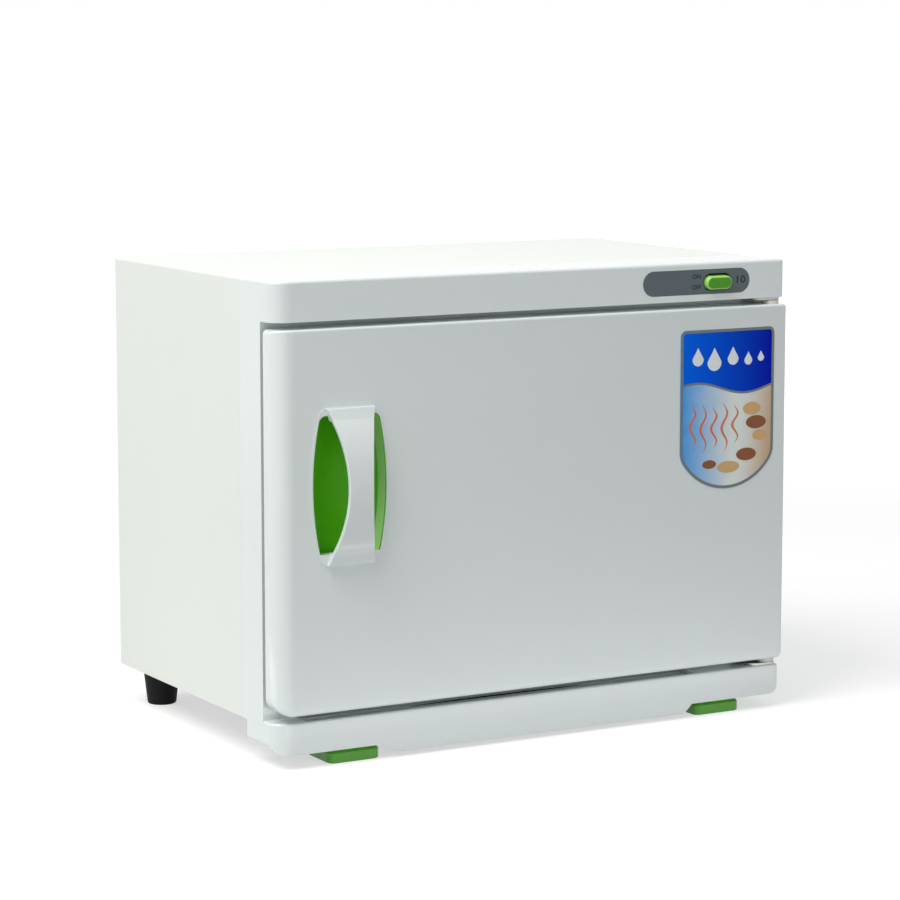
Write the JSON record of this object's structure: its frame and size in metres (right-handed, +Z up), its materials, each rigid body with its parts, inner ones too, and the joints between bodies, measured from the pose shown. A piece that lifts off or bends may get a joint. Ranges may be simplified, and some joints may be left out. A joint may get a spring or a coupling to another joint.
{
  "type": "uv towel warmer sterilizer",
  "caption": "Countertop towel warming cabinet with a hinged door, bridged grip, rocker switch, wire baskets, drip tray and ultraviolet tube.",
  "frame": {"origin": "centre of the whole object's footprint box, on the surface that it stands on", "axes": "+Z up, the door faces -Y, +X to the right of a viewer in front of the door, along the cabinet's width"},
  "size_m": [0.45, 0.31, 0.36],
  "materials": {
    "painted_white": "white powder coat",
    "gloss_white": "glossy white moulding",
    "control_grey": "satin grey inlay",
    "leaf_green": "glossy green moulding",
    "foot_rubber": "black rubber",
    "grey_rubber": "grey seal",
    "liner_aluminium": "satin sheet",
    "zinc_steel": "zinc plated",
    "chrome_wire": "bright plated wire",
    "foam": "insulation",
    "heater_film": "amber film",
    "black_plastic": "matt black",
    "nylon": "natural nylon",
    "terminal_brass": "brass",
    "magnet_ferrite": "dark ferrite",
    "lamp_glass": "clear quartz tube",
    "ceramic_white": "white ceramic",
    "lead_cover": "black lead sleeve",
    "label_print": "printed label"
  },
  "bodies": {
    "cabinet": {"outer_casing": "painted_white", "rear_panel": "painted_white", "bottom_panel": "painted_white", "rear_panel_screws": "zinc_steel", "rear_feet": "foot_rubber", "foot_screws": "zinc_steel", "foot_nuts": "zinc_steel", "front_frame": "gloss_white", "foot_strips": "foot_rubber", "base_plinth": "gloss_white", "front_pads": "leaf_green", "pad_screws": "zinc_steel", "plinth_screws": "zinc_steel", "control_plate": "control_grey", "switch_body": "black_plastic", "switch_terminals": "terminal_brass", "door_switch_body": "black_plastic", "magnet_catch": "nylon", "catch_magnet": "magnet_ferrite", "catch_screws": "zinc_steel", "upper_hinge_bracket": "zinc_steel", "lower_hinge_bracket": "zinc_steel", "hinge_pins": "zinc_steel", "bracket_screws": "zinc_steel", "chamber_liner": "liner_aluminium", "heating_film": "heater_film", "chamber_insulation": "foam", "thermostat": "black_plastic", "thermal_fuse": "ceramic_white", "basket_rails": "liner_aluminium", "tray_runners": "nylon", "uv_lamp_tube": "lamp_glass", "uv_lamp_caps": "zinc_steel", "lamp_holders": "ceramic_white", "lamp_guard": "liner_aluminium", "lamp_ballast": "zinc_steel", "starter_holder": "ceramic_white", "lamp_starter": "nylon", "terminal_block": "nylon", "switch_lead": "lead_cover", "cable_gland": "black_plastic", "gland_nut": "black_plastic"},
    "door": {"door_shell": "gloss_white", "door_insulation": "foam", "door_inner_panel": "liner_aluminium", "door_panel_screws": "zinc_steel", "door_gasket": "grey_rubber", "hinge_bushes": "nylon", "strike_plate": "zinc_steel", "handle_cup": "leaf_green", "handle_grip": "gloss_white", "handle_screws": "zinc_steel", "door_label": "label_print"},
    "power_rocker": {"switch_rocker": "leaf_green"},
    "lamp_plunger": {"door_switch_plunger": "nylon"},
    "upper_basket": {"upper_rack": "chrome_wire"},
    "lower_basket": {"lower_rack": "chrome_wire"},
    "tray": {"drip_tray": "liner_aluminium"}
  },
  "joints": [
    {"name": "door_hinge", "type": "hinge", "parent": "cabinet", "child": "door", "pos_m": [0.216, -0.124, 0.183], "axis": [0, 0, 1], "range_deg": [0, 115]},
    {"name": "power_switch", "type": "hinge", "parent": "cabinet", "child": "power_rocker", "pos_m": [0.1618, -0.125, 0.3445], "axis": [-1, 0, 0], "range_deg": [0, 12]},
    {"name": "lamp_switch_travel", "type": "slide", "parent": "cabinet", "child": "lamp_plunger", "axis": [0, -1, 0], "range_m": [0, 0.00402]},
    {"name": "upper_basket_slide", "type": "slide", "parent": "cabinet", "child": "upper_basket", "axis": [0, -1, 0], "range_m": [0, 0.12044]},
    {"name": "lower_basket_slide", "type": "slide", "parent": "cabinet", "child": "lower_basket", "axis": [0, -1, 0], "range_m": [0, 0.12044]},
    {"name": "tray_slide", "type": "slide", "parent": "cabinet", "child": "tray", "axis": [0, -1, 0], "range_m": [0, 0.12044]}
  ],
  "couplings": [
    {"joint": "lamp_switch_travel", "follows": "door_hinge", "m_per_rad": 0.002},
    {"joint": "upper_basket_slide", "follows": "door_hinge", "m_per_rad": 0.06},
    {"joint": "lower_basket_slide", "follows": "door_hinge", "m_per_rad": 0.06},
    {"joint": "tray_slide", "follows": "door_hinge", "m_per_rad": 0.06}
  ]
}
